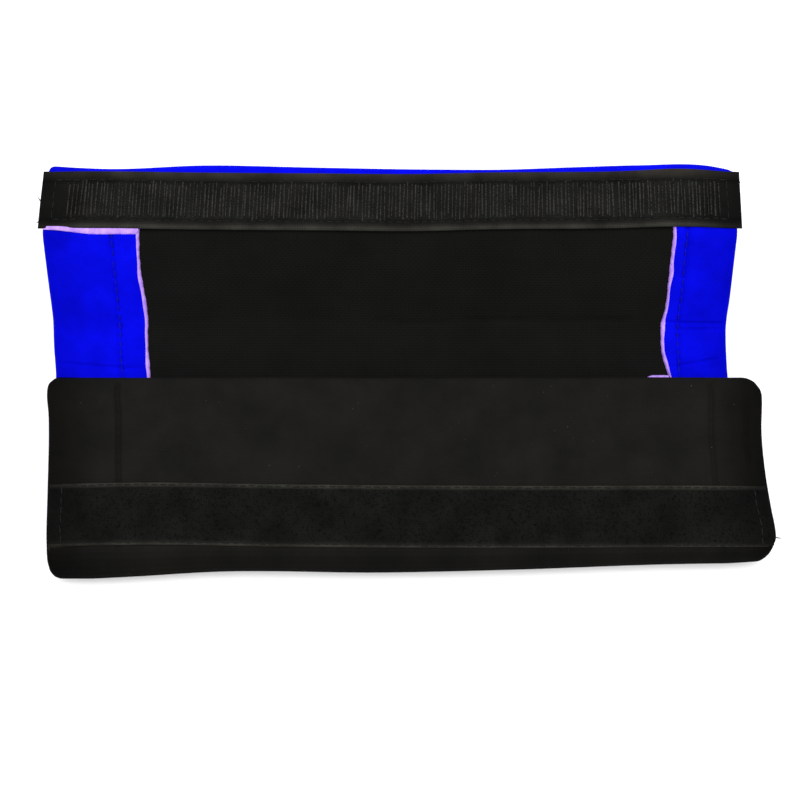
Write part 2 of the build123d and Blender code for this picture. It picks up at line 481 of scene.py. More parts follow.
class Section:
    """A stretch of the strip that bends across one hinge.

    free is "start" or "end" where the stretch has a free edge, and radius rounds its two corners.
    """

    def __init__(self, name, start, end, bodies, blend, nodes, free=None, radius=(2.0, 2.0)):
        self.name, self.start, self.end = name, start, end
        self.bodies, self.blend, self.nodes = bodies, blend, nodes
        self.free, self.radius = free, radius
        self.edge, self.inward = (start, 1) if free == "start" else (end, -1)

    def rows(self, step=1.3):
        """Stations of the grid's rows."""
        if self.free == "start":
            return self.start + rolled(self.end - self.start, step)
        if self.free == "end":
            return self.end - rolled(self.end - self.start, step)[::-1]
        return spaced(self.start, self.end, step, CREASED)

    def hem_rows(self, step=1.3):
        """Stations of the end hems' rows, which stop under the hook tape."""
        rows = self.rows(step)
        return rows[rows < KNEE_STATION + UNDER_TAPE] if self.free == "end" else rows

    def rounded(self, x, u):
        """Grid points with the free corners rounded, and their distance from the nearest free edge."""
        x, u = np.broadcast_arrays(x, u)
        side = np.maximum(HALF_LENGTH - np.abs(x), 0)
        if not self.free:
            return np.sign(x) * (HALF_LENGTH - side), u, side
        edge = np.maximum(self.inward * (u - self.edge), 0)
        new_side, new_edge = round_corner(side, edge, np.where(x < 0, *self.radius))
        new_x = np.sign(x) * (HALF_LENGTH - new_side)
        return new_x, self.edge + self.inward * new_edge, np.minimum(side, edge)

    def join(self, piece):
        """Bakes a finished piece's transform into its mesh.

        While this is done, the askew bottom fold is pulled straight, and the piece's points are put back
        afterwards.
        """
        points = mesh_points(piece.data)
        straight = points.copy()
        if "bottom_fold" in self.bodies:
            x = points[:, 0] / MM
            straight[:, 1] -= fold_stray(2 * x - along_pad(x, FRONT_BEND + 2)) * MM
        move_points(piece.data, straight)
        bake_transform(piece)
        move_points(piece.data, points)


def near_hinge(corner, before, after, slope_before, slope_after):
    """Start and end of a bend: this far before and after a hinge, along the strip."""
    return corner - along(slope_before) * before, corner + along(slope_after) * after


def make_sections():
    """The strip's five sections, split halfway between hinges."""
    front_hinge, bottom_hinge, top_hinge, flap_hinge = CORNERS[1:5]
    fold_middle = (front_hinge + bottom_hinge) / 2
    slope_top = math.atan2(*(flap_hinge - top_hinge)[::-1])
    slope_flap = flap_slope()
    mid_bottom = (FRONT_BEND + BOTTOM_BEND) / 2
    mid_back = (BOTTOM_BEND + TOP_BEND) / 2
    mid_top = (TOP_BEND + FLAP_BEND) / 2
    mid_flap = (FLAP_BEND + KNEE_BEND) / 2
    hem_nodes = ("cover", "foam", "left_hem", "right_hem")
    nodes = {body: [f"{body}_{kind}" for kind in hem_nodes]
             for body in ("front", "bottom_fold", "back", "top_fold", "flap")}
    flap_nodes = nodes["flap"] + ["flap_edge_cover", "flap_edge_foam", "flap_edge_hem"]
    return (
        Section("front", 0, mid_bottom, ("front", "bottom_fold"),
                (front_hinge + (2.2, 0.2), fold_middle), nodes["front"] + ["front_edge_hem"],
                "start", (4.2, 7.5)),
        Section("bottom", mid_bottom, mid_back, ("bottom_fold", "back"),
                (fold_middle, bottom_hinge + (2.2, -0.2)), nodes["bottom_fold"]),
        Section("back", mid_back, mid_top, ("back", "top_fold"),
                near_hinge(top_hinge, 8, 8, 0, slope_top), nodes["back"]),
        Section("top", mid_top, mid_flap, ("top_fold", "flap"),
                near_hinge(flap_hinge, 8, 8, slope_top, slope_flap), nodes["top_fold"]),
        Section("flap", mid_flap, STRIP.length, ("flap", "flap_edge"),
                near_hinge(CORNERS[5], 9, 0.3, slope_flap, EDGE_SLOPE), flap_nodes,
                "end", (2.5, 3.5)),
    )


SECTIONS = make_sections()
CREASED = (TOP_BEND + 3.5, FLAP_BEND - 3, FLAP_BEND)
COLOUR_SEAM = BOTTOM_BEND + 5.0        # the black front cloth is sewn to the blue cloth here
UNDER_TAPE = 3.0                       # how far the lining and end hems run on under the hook tape, mm
EDGE_HEM = 14.0                        # front panel's turned edge, mm


def hem_edge(u, side, settings):
    """x of an end hem's raw edge, which wanders as hand-guided cloth does."""
    if side < 0:
        wander = 0.35 * np.sin(u / 11.0) + 0.9 * bell(u - FLAP_BEND - 3, 11)
        return -HALF_LENGTH + settings.left_hem + wander - 0.4
    step = 1.1 * smooth(u, TOP_BEND + 2, TOP_BEND + 9) * (1 - smooth(u, FLAP_BEND - 1, FLAP_BEND + 6))
    tuck = 1.6 * (1 - smooth(u, TOP_BEND - 4, TOP_BEND + 5))
    return HALF_LENGTH - settings.right_hem + 0.8 + tuck - step + 0.2 * np.sin(u / 6.1)


def outer_level(section, x, u, distance, settings):
    """Level of the cover's outer face: rolled at its edges, dimpled at seams, crowned between them."""
    level = roll_level(distance, outer=True)
    settled = smooth(distance, 0.5, 5)
    crown = 0.0
    if section.name == "front":
        free_part = smooth(u, 1, 12) * (1 - smooth(u, LOOP_STATION - 9, LOOP_STATION - 1))
        crown = 0.9 * free_part + 0.5 * smooth(u, LOOP_STATION + 25.5, LOOP_STATION + 30)
        crown = crown - 0.9 * bell(x - (HALF_LENGTH - 7), 0.9) * free_part
    if section.name in ("top", "flap"):
        crown = 0.7 * smooth(u, FLAP_BEND - 5, FLAP_BEND + 12)
    in_fold = bell(u - (FRONT_BEND + BOTTOM_BEND) / 2, 7)
    depth = np.where(x < 0, 2.2, 1.5) if section.name == "front" else 1.1
    dips = (depth * seam_dip(x, u, settings) + 0.2 * puckers(x, u, settings)) * (1 - in_fold)
    if section.name in ("bottom", "back"):
        dips = np.abs(dips)
    return level + settled * (dips - crown) + end_droop(x)


def hem_face_level(x, u, distance, from_raw, settings):
    """Level of an end hem's face: rolled at the pad's end, softly rounded at its raw edge."""
    level = roll_level(distance, outer=False)
    droop = 0.35 * bell(from_raw, 0.8)
    dips = 1.2 * seam_dip(x, u, settings) + 0.25 * puckers(x, u, settings) + creases(x, u)
    return level - smooth(distance, 0.5, 5) * dips - droop - end_droop(x)


def lining_level(x, u, settings):
    """Level of the lining, which swells a little between the hems."""
    from_hem = np.minimum(x - hem_edge(u, -1, settings), hem_edge(u, 1, settings) - x)
    swell = 0.55 * smooth(from_hem, 0, 14)
    rumple = 0.12 * np.sin(x / 5.3 + u / 3.7) * np.sin(x / 8.1 - u / 2.9 + 1)
    return LINING_LEVEL + swell + rumple - 1.3 * creases(x, u)


def pad_columns(settings):
    """x of the cover's columns of vertices, the same on every face that reaches a long edge."""
    left = -HALF_LENGTH + rolled(HALF_LENGTH, 1.5, (settings.left_seam,))
    right = HALF_LENGTH - rolled(HALF_LENGTH, 1.5, (settings.right_seam, 7))[::-1]
    return np.concatenate((left, right[1:]))


def cloth_slots(rows):
    """Material slot of each row of faces: 0 is the black cloth, 1 the blue."""
    return (rows[:-1] > COLOUR_SEAM).astype(int)


def add_outer(patches, section, settings):
    rows = section.rows()[:, None]
    x, u, distance = section.rounded(pad_columns(settings)[None, :], rows)
    level = outer_level(section, x, u, distance, settings)
    patches.grid(place(x, u, level), x, u, flip=True, slots=cloth_slots(rows))


def add_end_hem(patches, section, side, rows, settings):
    """One end hem: from the roll at the pad's end to its raw edge."""
    rows = rows[:, None]
    raw = hem_edge(rows, side, settings)
    end = side * HALF_LENGTH
    width = np.abs(end - raw)
    cut = settings.left_hem if side < 0 else settings.right_hem
    seam = settings.left_seam if side < 0 else settings.right_seam
    turn = rolled(cut, 1.5, (seam,) if side < 0 else (seam, 7))[None, :]
    share = (turn - seam) / (cut - seam)
    distance = np.where(turn > seam, seam + share * (width - seam), turn + 0 * width)
    columns = end - side * distance
    x, u, nearest = section.rounded(columns, rows)
    level = hem_face_level(x, u, nearest, width - distance, settings)
    patches.grid(place(x, u, level), x, u, flip=side > 0, slots=cloth_slots(rows))


def add_edge_hem(patches, section, settings):
    """The front panel's long edge, turned in between its end hems."""
    rows = rolled(EDGE_HEM, 1.3)[:, None]
    left, right = hem_edge(rows, -1, settings), hem_edge(rows, 1, settings)
    columns = pad_columns(settings)
    columns = columns[(columns > left.max() + 0.3) & (columns < right.min() - 0.3)] + 0 * rows
    columns = np.concatenate((left, columns, right), axis=1)
    x, u, nearest = section.rounded(columns, rows)
    level = hem_face_level(x, u, nearest, EDGE_HEM - rows, settings)
    patches.grid(place(x, u, level), x, u)


def add_long_hem(patches, section, settings):
    """The flap's long edge, turned in under the hook tape from end to end."""
    rows = section.rows()[len(section.hem_rows()) - 1:][:, None]
    x, u, nearest = section.rounded(pad_columns(settings)[None, :], rows)
    patches.grid(place(x, u, roll_level(nearest, outer=False)), x, u, slots=1)


def make_cover(section, settings):
    patches = Patchwork()
    add_outer(patches, section, settings)
    for side in (-1, 1):
        add_end_hem(patches, section, side, section.hem_rows(), settings)
    if section.free == "start":
        add_edge_hem(patches, section, settings)
    if section.free == "end":
        add_long_hem(patches, section, settings)
    cover = patches.make(f"{section.name}_padding", (
        material("woven_polyester_black", front_cloth, settings),
        material("woven_polyester_blue", outer_cloth, settings)))
    section.join(cover)
    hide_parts(*section.nodes)


def make_lining(section, settings):
    """The knit lining between the hems, tucked a little way under them."""
    tuck = 1.5
    start = section.start + (EDGE_HEM - tuck if section.free == "start" else 0)
    end = KNEE_STATION + UNDER_TAPE if section.free == "end" else section.end
    rows = between(start, end, 1.3)[:, None]
    share = np.linspace(0, 1, 150)[None, :]
    left = hem_edge(rows, -1, settings) - tuck
    right = hem_edge(rows, 1, settings) + tuck
    x = left + share * (right - left)
    patches = Patchwork()
    patches.grid(place(x, rows, lining_level(x, rows, settings)), x, rows)
    lining = patches.make(f"{section.name}_lining_cloth", (material("brushed_knit_black", lining_knit),))
    section.join(lining)
    nodes = ["flap_lining", "flap_edge_lining"] if section.free == "end" else [LINED[section.name]]
    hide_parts(*nodes)


LINED = {"front": "front_lining", "bottom": "bottom_fold_lining", "back": "back_lining",
         "top": "top_fold_lining"}


def foam_profile(from_edge_in=0.6):
    """A cut foam edge in section: how far it stands out from the cut cloth, and its level."""
    turn = np.linspace(0, math.pi / 2, 6)
    out = np.concatenate(((-from_edge_in,), 0.95 * np.sin(turn), (0.8,)))
    drop = HEM_LEVEL - 0.3 - LINING_LEVEL
    level = np.concatenate(((HEM_LEVEL - 0.35,), LINING_LEVEL + drop * np.cos(turn), (LINING_LEVEL - 0.3,)))
    return out, level


def nibbles(s):
    """Unevenness of a hand-cut foam edge, mm."""
    return 0.07 * np.sin(s / 1.3 + 1.0) + 0.06 * np.sin(s / 0.61) + 0.2 * np.sin(s / 5.3)


def add_edge_foam(patches, settings):
    """The cut edge of the front panel's turned-in long side."""
    out, level = (part[:, None] for part in foam_profile())
    x = np.linspace(-HALF_LENGTH + settings.left_hem, HALF_LENGTH - settings.right_hem, 320)[None, :]
    u = EDGE_HEM + out * (1 + 0.3 * nibbles(x))
    patches.grid(place(x, u, level), x, u + level, flip=True)


def add_fold_foam(patches, settings):
    """A sliver of foam that peeps out of the right end hem where the top fold begins."""
    share = np.linspace(0, 1, 30)[None, :]
    x = HALF_LENGTH - settings.right_hem - 8.5 + 9.5 * share
    turn = np.linspace(0, math.pi, 8)[:, None]
    width = 0.75 * smooth(share, 0, 0.35) + 0.15 * nibbles(x) * share
    u = TOP_BEND - 1.3 + width * np.cos(turn)
    level = LINING_LEVEL + 0.1 + 0.9 * np.sin(turn) * smooth(share, 0, 0.2)
    patches.grid(place(x, u, level), x, u + level, flip=True)


def add_tape_foam(patches, settings):
    """The ridge of foam that stands out from under the hook tape over the left end hem."""
    share = np.linspace(0, 1, 120)[None, :]
    x = -HALF_LENGTH + 0.8 + share * (settings.left_hem - 0.2)
    turn = np.linspace(-0.3, math.pi, 9)[:, None]
    proud = 0.5 + 1.9 * smooth(share, 0.0, 0.6) + 0.5 * nibbles(x) * share
    proud = proud * (1 - smooth(share, 0.97, 1.0) * 0.5)
    u = KNEE_STATION + 1.6 - (proud + 1.0) * (0.5 - 0.5 * np.cos(turn))
    rise = 0.55 * np.sin(turn) * smooth(share, 0, 0.15)
    patches.grid(place(x, u, HEM_LEVEL + rise), x, u + rise, flip=True)


FOAM_OF = {"front": add_edge_foam, "back": add_fold_foam, "flap": add_tape_foam}


def make_raw_edges(section, settings):
    """The cut foam edges of the hems in this section."""
    patches = Patchwork()
    rows = section.hem_rows(0.7)
    if section.free == "start":
        rows = rows[rows > 3]
    rows = rows[:, None]
    out, level = (part[None, :] for part in foam_profile())
    for side in (-1, 1):
        edge = hem_edge(rows, side, settings)
        x = edge - side * (out + np.clip(out, 0, 1) * nibbles(rows + 9 * side))
        sunk = level - 0.8 * creases(x, rows)
        patches.grid(place(x, rows, sunk), x, rows + level, flip=side > 0)
    if section.name in FOAM_OF:
        FOAM_OF[section.name](patches, settings)
    edges = patches.make(f"{section.name}_raw_foam_edges", (material("cut_foam_white", cut_foam),))
    section.join(edges)


# ---- materials -------------------------------------------------------------------------------
def linear(colour):
    """Linear colour of an sRGB hex value."""
    channels = [int(colour[i:i + 2], 16) / 255 for i in (1, 3, 5)]
    return tuple(c / 12.92 if c <= 0.04045 else ((c + 0.055) / 1.055) ** 2.4 for c in channels) + (1.0,)


class Finish:
    """A new material as it is wired up: its shader, and its cloth coordinates in millimetres."""

    def __init__(self, name):
        self.material = bpy.data.materials.new(name)
        self.material.use_nodes = True
        self.material.node_tree.nodes.clear()
        self.shader = self.add("ShaderNodeBsdfPrincipled")
        self.add("ShaderNodeOutputMaterial", {"Surface": self.shader.outputs["BSDF"]})
        self.cloth = self.add("ShaderNodeUVMap", uv_map="cloth").outputs["UV"]

    def add(self, kind, inputs=None, **settings):
        """Adds a node, sets it up and links what is given as a socket."""
        tree = self.material.node_tree
        item = tree.nodes.new(kind)
        for key, value in settings.items():
            setattr(item, key, value)
        for key, value in (inputs or {}).items():
            if isinstance(value, bpy.types.NodeSocket):
                tree.links.new(value, item.inputs[key])
            else:
                item.inputs[key].default_value = value
        return item

    def weave(self, pitch):
        """Height of a plain weave: at each crossing the warp or the weft is on top."""
        warp, weft = (
            self.add("ShaderNodeTexWave", {"Vector": self.cloth, "Scale": 0.314 / pitch, "Distortion": 0.6},
                     bands_direction=direction).outputs["Fac"] for direction in "XY")
        over = self.add("ShaderNodeTexChecker", {"Vector": self.cloth, "Scale": 1 / pitch}).outputs["Fac"]
        return self.add("ShaderNodeMix", {"Factor": over, "A": warp, "B": weft}).outputs["Result"]

    def mottled(self, size, light, dark, where=None):
        """Colour that drifts between two shades over patches of this size, mm."""
        noise = self.add("ShaderNodeTexNoise", {"Vector": where or self.cloth, "Scale": 1 / size,
                                                "Detail": 6.0, "Roughness": 0.6})
        return self.banded(noise.outputs["Fac"], ((0.35, dark), (0.65, light)))

    def banded(self, value, bands):
        """Colour by a value, blended between (value, sRGB colour) pairs."""
        ramp = self.add("ShaderNodeValToRGB", {"Fac": value})
        stops = ramp.color_ramp.elements
        for position, colour in bands[1:-1]:
            stops.new(position).color = linear(colour)
        for stop, (position, colour) in ((stops[0], bands[0]), (stops[-1], bands[-1])):
            stop.position, stop.color = position, linear(colour)
        return ramp.outputs["Color"]

    def shaded(self, colour, value, shades=(0, 1), over=(0, 1), steps="LINEAR"):
        """Colour darkened by a value, from the first shade at a range's start to the second at its end."""
        shade = self.add("ShaderNodeMapRange", {
            "Value": value, "From Min": over[0], "From Max": over[1], "To Min": shades[0],
            "To Max": shades[1]}, interpolation_type=steps).outputs["Result"]
        # A mix node has a set of sockets for each kind of value, so its colours are picked by number.
        return self.add("ShaderNodeMix", {0: 1.0, 6: colour, 7: shade}, data_type="RGBA",
                        blend_type="MULTIPLY").outputs[2]

    def painted_end_shade(self, colour, share):
        """Paints shade on the cloth towards the pad's ends, down to this share: it stands in for the shade on
        the pad's sloping, rounded ends.
        """
        along_x = self.add("ShaderNodeSeparateXYZ", {"Vector": self.cloth}).outputs["X"]
        out = self.add("ShaderNodeMath", {0: along_x}, operation="ABSOLUTE").outputs["Value"]
        return self.shaded(colour, out, (1, share), (HALF_LENGTH - 26, HALF_LENGTH + 1), "SMOOTHSTEP")

    def done(self, colour, height, depth, roughness, gloss):
        """Links the colour and the relief, in millimetres, to the shader; gloss is its specular level."""
        relief = self.add("ShaderNodeBump", {"Height": height, "Strength": 1.0, "Distance": depth * MM})
        for socket, source in (("Base Color", colour), ("Normal", relief.outputs["Normal"])):
            self.material.node_tree.links.new(source, self.shader.inputs[socket])
        self.shader.inputs["Roughness"].default_value = roughness
        self.shader.inputs["Specular IOR Level"].default_value = gloss
        return self.material


def material(name, wire, *details):
    """The material with this name, wired by a function the first time that it is asked for."""
    return bpy.data.materials.get(name) or wire(Finish(name), *details)


def outer_cloth(cloth, settings):
    """Bright blue woven polyester: matt, saturated, with a fine plain weave."""
    height = cloth.weave(0.8)            # real threads are 0.35 mm apart; drawn coarser
    # The weave's hollows are painted darker, down to 0.86, as shade between the threads.
    colour = cloth.shaded(cloth.mottled(14.0, settings.outer_colour, "#0508CC"), height, (0.86, 1))
    cloth.shader.inputs["Specular Tint"].default_value = linear("#2020FF")
    # Painted shade towards the pad's ends, down to 0.72.
    return cloth.done(cloth.painted_end_shade(colour, 0.72), height, 0.06, 0.85, 0.05)


def front_cloth(cloth, settings):
    """Black woven polyester: matt, brown-grey where light rakes its threads, with painted shade past the loop
    tape, where the bottom fold turns down away from the light.
    """
    height = cloth.weave(0.8)
    # The weave's hollows are painted darker, down to 0.8, as shade between the threads.
    colour = cloth.shaded(cloth.mottled(22.0, settings.inner_colour, "#161615"), height, (0.8, 1))
    station = cloth.add("ShaderNodeSeparateXYZ", {"Vector": cloth.cloth}).outputs["Y"]
    # Painted shade towards the pad's ends, down to 0.4.
    colour = cloth.painted_end_shade(colour, 0.4)
    # Painted shade: past the loop tape the cloth is darkened to 0.62, for the shade on the bottom fold as it
    # turns down from the light.
    colour = cloth.shaded(colour, station, (1, 0.62), (LOOP_STATION + 24, LOOP_STATION + 26.5))
    return cloth.done(colour, height, 0.08, 0.9, 0.02)


def lining_knit(knit):
    """Black brushed knit: dull and dark, with faint wales."""
    height = knit.weave(1.1)
    # The knit's hollows are painted darker, down to 0.75, as shade between the threads.
    colour = knit.shaded(knit.mottled(26.0, "#161615", "#131312"), height, (0.75, 1))
    return knit.done(colour, height, 0.1, 0.95, 0.02)


def cut_foam(foam):
    """Cut polyurethane foam: pale violet-white, with open cells about half a millimetre wide."""
    cells = foam.add("ShaderNodeTexVoronoi", {"Vector": foam.cloth, "Scale": 1 / 0.5})
    return foam.done(foam.mottled(3.0, "#C7A0F6", "#A981EA"), cells.outputs["Distance"], 0.15, 0.9, 0.08)


def tape_web(web, bands):
    """Woven nylon tape: black, with (share of its width, sRGB colour) bands, pale at its selvedges as painted
    highlights on their rounded edges.
    """
    height = web.weave(0.7)
    streaks = web.add("ShaderNodeTexNoise", {"Vector": web.cloth, "Scale": 1 / 13.0, "Detail": 5.0})
    across_tape = web.add("ShaderNodeSeparateXYZ", {"Vector": web.cloth}).outputs["Y"]
    share = web.add("ShaderNodeMath", {0: across_tape, 1: 1 / TAPE_WIDTH}, operation="MULTIPLY")
    colour = web.banded(share.outputs["Value"], bands)
    colour = web.shaded(colour, streaks.outputs["Fac"], (0.6, 1.25), (0.35, 0.65))
    # Painted shade on the tape's ends, where they bend down over the pad's rolled ends, down to 0.35.
    # The weave's hollows are painted darker, down to 0.65, as shade between the threads.
    colour = web.painted_end_shade(web.shaded(colour, height, (0.65, 1)), 0.35)
    return web.done(colour, height, 0.12, 0.6, 0.04)


# Bands across each tape: the pale bands at the selvedges are painted highlights on their rounded edges, and
# the hook tape's darkest bands, beside its field, are painted shade in the grooves along its stitch lines.
HOOK_TAPE_BANDS = (
    (0.0, "#2A2A27"), (0.04, "#35342F"), (0.09, "#21201E"), (0.15, "#10100F"), (0.2, "#1A1A18"),
    (0.74, "#1A1A18"), (0.8, "#10100F"), (0.88, "#262420"), (0.95, "#302D2A"), (1.0, "#35322F"))
LOOP_TAPE_BANDS = (
    (0.0, "#1E1E1B"), (0.02, "#35342F"), (0.045, "#2E2D29"), (0.08, "#131311"), (0.3, "#121210"),
    (0.87, "#131311"), (0.92, "#1C1C1A"), (0.945, "#34332E"), (0.965, "#24231F"), (1.0, "#1A1A18"))


def hook_nylon(nylon):
    """Moulded nylon hooks: dark, a little glossy, paler in some rows than in others."""
    rows = nylon.add("ShaderNodeMapping", {"Vector": nylon.cloth, "Scale": (1.0, 0.22, 1.0)})
    patches = nylon.mottled(1.2, "#33322C", "#201F1C", rows.outputs["Vector"])
    drift = nylon.mottled(7.0, "#FFFFFF", "#7A7974")
    both = nylon.add("ShaderNodeMix", {0: 1.0, 6: patches, 7: drift}, data_type="RGBA", blend_type="MULTIPLY")
    nylon.shader.inputs["IOR"].default_value = 1.53
    return nylon.done(both.outputs[2], nylon.weave(0.5), 0.02, 0.5, 0.12)


def loop_nylon(nylon):
    """Napped nylon loops: black fuzz that shows brown-grey where it catches light."""
    fuzz = nylon.add("ShaderNodeTexNoise", {"Vector": nylon.cloth, "Scale": 2.2, "Detail": 8.0})
    return nylon.done(nylon.mottled(1.6, "#181815", "#0D0D0B"), fuzz.outputs["Fac"], 0.4, 0.8, 0.03)


def sewing_thread(light="#161614", dark="#0E0E0D"):
    """Polyester thread: twisted, with a slight shine."""
    def wire(thread):
        twist = thread.add("ShaderNodeTexWave", {"Vector": thread.cloth, "Scale": 0.314 / 0.5},
                           bands_direction="DIAGONAL")
        return thread.done(thread.mottled(5.0, light, dark), twist.outputs["Fac"], 0.08, 0.55, 0.12)
    return material(f"polyester_thread_{light[1:]}", wire)


def lint_fibre(lint):
    """Grey cotton lint, matt and a little uneven."""
    return lint.done(lint.mottled(9.0, "#5A5954", "#34332F"), lint.weave(0.3), 0.02, 0.9, 0.05)


def studio_paper(paper):
    """Matt white paper sweep, with a very faint tooth."""
    spot = paper.add("ShaderNodeTexCoord").outputs["Object"]
    tooth = paper.add("ShaderNodeTexNoise", {"Vector": spot, "Scale": 900.0}).outputs["Fac"]
    white = paper.add("ShaderNodeMapRange", {"Value": tooth, "To Min": 0.97, "To Max": 1.0})
    sockets = paper.shader.inputs
    paper.material.node_tree.links.new(white.outputs["Result"], sockets["Base Color"])
    sockets["Roughness"].default_value, sockets["Specular IOR Level"].default_value = 0.95, 0.1
    return paper.material


# ---- tape and thread -------------------------------------------------------------------------
def flat_bar(name, half, width, height, columns, rows):
    """A flat bar of tape: a fine grid that is given its thickness, with its edges softly rounded."""
    bpy.ops.object.select_all(action="DESELECT")
    bpy.ops.mesh.primitive_grid_add(x_subdivisions=columns, y_subdivisions=rows, size=2,
                                    location=(0, 0, 0))
    bar = bpy.context.object
    bar.name = name
    bpy.ops.object.mode_set(mode="EDIT")
    bpy.ops.mesh.select_all(action="SELECT")
    bpy.ops.transform.resize(value=(half * MM, width * MM / 2, 1))
    bpy.ops.transform.translate(value=(0, width * MM / 2, height * MM))
    bpy.ops.object.mode_set(mode="OBJECT")
    apply_modifier(bar, "SOLIDIFY", thickness=height * MM, offset=-1.0)
    apply_modifier(bar, "BEVEL", width=0.28 * height * MM, segments=2, limit_method="ANGLE",
                   angle_limit=math.radians(50))
    return bar


def finish_piece(piece, body, finish, nodes):
    """Gives a laid piece its finish, its body and the CAD nodes that it stands for."""
    piece.data.materials.append(finish)
    select_only(piece)
    bpy.ops.object.shade_smooth_by_angle(angle=math.radians(50))
    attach(piece, body)
    if nodes:
        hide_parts(*nodes)


def copies(name, base, places, turns, sizes):
    """One mesh of many copies of a small base mesh, each moved, turned about Z and sized."""
    count, points = len(base.vertices), mesh_points(base)
    faces = [list(p.vertices) for p in base.polygons]
    cos, sin = np.cos(turns)[:, None], np.sin(turns)[:, None]
    scaled = points[None] * sizes[:, None, :]
    x = scaled[..., 0] * cos - scaled[..., 1] * sin + places[:, 0:1]
    y = scaled[..., 0] * sin + scaled[..., 1] * cos + places[:, 1:2]
    z = scaled[..., 2] + places[:, 2:3]
    every = np.stack((x, y, z), axis=-1).reshape(-1, 3)
    all_faces = [[v + count * i for v in face] for i in range(len(places)) for face in faces]
    mesh = bpy.data.meshes.new(name)
    mesh.from_pydata(every.tolist(), [], all_faces)
    return new_object(name, mesh)


def small_base(make):
    """The mesh of a primitive that is modelled once, and no longer shown."""
    bpy.ops.object.select_all(action="DESELECT")
    make()
    base = bpy.context.object
    mesh = base.data
    bpy.data.objects.remove(base)
    return mesh


def stitch_base():
    """One stitch, a millimetre long and wide: a squashed ball of few faces."""
    bpy.ops.mesh.primitive_uv_sphere_add(segments=8, ring_count=5, radius=0.5 * MM)
    ball = bpy.context.object
    ball.rotation_euler = (0, math.radians(90), 0)
    bpy.ops.object.transform_apply(rotation=True)


def stitch_row(x_from, y_from, x_to, y_to, height, settings, rng):
    """Places, turns and sizes of a row of stitches from one point to another, each a little uneven."""
    length = math.hypot(x_to - x_from, y_to - y_from)
    count = max(1, int(length / settings.stitch_length))
    share = (np.arange(count) + 0.5) / count
    jitter = rng.normal(0, 0.12, (count, 2))
    places = np.stack((x_from + share * (x_to - x_from) + jitter[:, 0],
                       y_from + share * (y_to - y_from) + jitter[:, 1],
                       np.full(count, height)), axis=-1) * MM
    heading = math.atan2(y_to - y_from, x_to - x_from)
    turns = heading + rng.normal(0, 0.05, count)
    sizes = np.stack((length / count * rng.uniform(0.8, 0.92, count),
                      rng.uniform(0.5, 0.62, count), np.full(count, 0.5)), axis=-1)
    return places, turns, sizes


def stitches(name, rows, settings, seed):
    """Several rows of stitches as one piece."""
    rng = np.random.default_rng(seed)
    parts = [stitch_row(*row, settings, rng) for row in rows]
    places, turns, sizes = (np.concatenate(group) for group in zip(*parts))
    return copies(name, small_base(stitch_base), places, turns, sizes)


def tape_rows(half, side):
    """Where a tape is sewn: along its long edges, this far in, and across its ends."""
    end, far = half - 5.4, VISIBLE_TAPE - side
    lines = ((-end, side, end, side), (-end, far, end, far), (-end, side, -end, far), (end, side, end, far))
    return [(*line, TAPE_THICKNESS) for line in lines]


def hook_base():
    """One nylon hook: a stem that rises, leans over and turns back down, drawn out of a ring."""
    bpy.ops.mesh.primitive_circle_add(vertices=4, radius=0.17 * MM, location=(0, 0, 0))
    bpy.ops.object.mode_set(mode="EDIT")
    bpy.ops.mesh.select_all(action="SELECT")
    for rise, lean, turn in ((0.38, 0.0, 0.0), (0.3, 0.1, 0.5), (0.14, 0.26, 0.9), (-0.12, 0.24, 0.7)):
        bpy.ops.mesh.extrude_region_move(TRANSFORM_OT_translate={"value": (0, lean * MM, rise * MM)})
        ring = selected_points()
        spot = sum(ring, Vector()) / len(ring)
        bpy.ops.transform.rotate(value=turn, orient_axis="X", center_override=spot)
        bpy.ops.transform.resize(value=(0.88, 0.88, 0.88), center_override=spot)
    bpy.ops.mesh.edge_face_add()
    bpy.ops.object.mode_set(mode="OBJECT")


def selected_points():
    """Places of the selected vertices of the mesh being edited."""
    piece = bpy.context.object
    piece.update_from_editmode()
    return [v.co.copy() for v in piece.data.vertices if v.select]


def loop_base():
    """One loop of the pile: a thin ring, half of which stands out of the tape."""
    bpy.ops.mesh.primitive_torus_add(major_segments=7, minor_segments=3, major_radius=0.55 * MM,
                                     minor_radius=0.085 * MM)
    ring = bpy.context.object
    ring.rotation_euler = (math.radians(90), 0, 0)
    bpy.ops.object.transform_apply(rotation=True)


# ---- operators -------------------------------------------------------------------------------
class PadOperator(bpy.types.Operator):
    """Base of the pad's operators."""

    bl_options = {"REGISTER", "UNDO"}

    def execute(self, context):
        self.build(context.scene.shoulder_pad)
        return {"FINISHED"}


# Two suns: name, strength, how wide its disc is in degrees, and how far it leans along X and Y.
LAMPS = (("key", 2.2, 55, (0.12, -0.1)), ("fill", 0.5, 90, (-0.5, 0.4)))


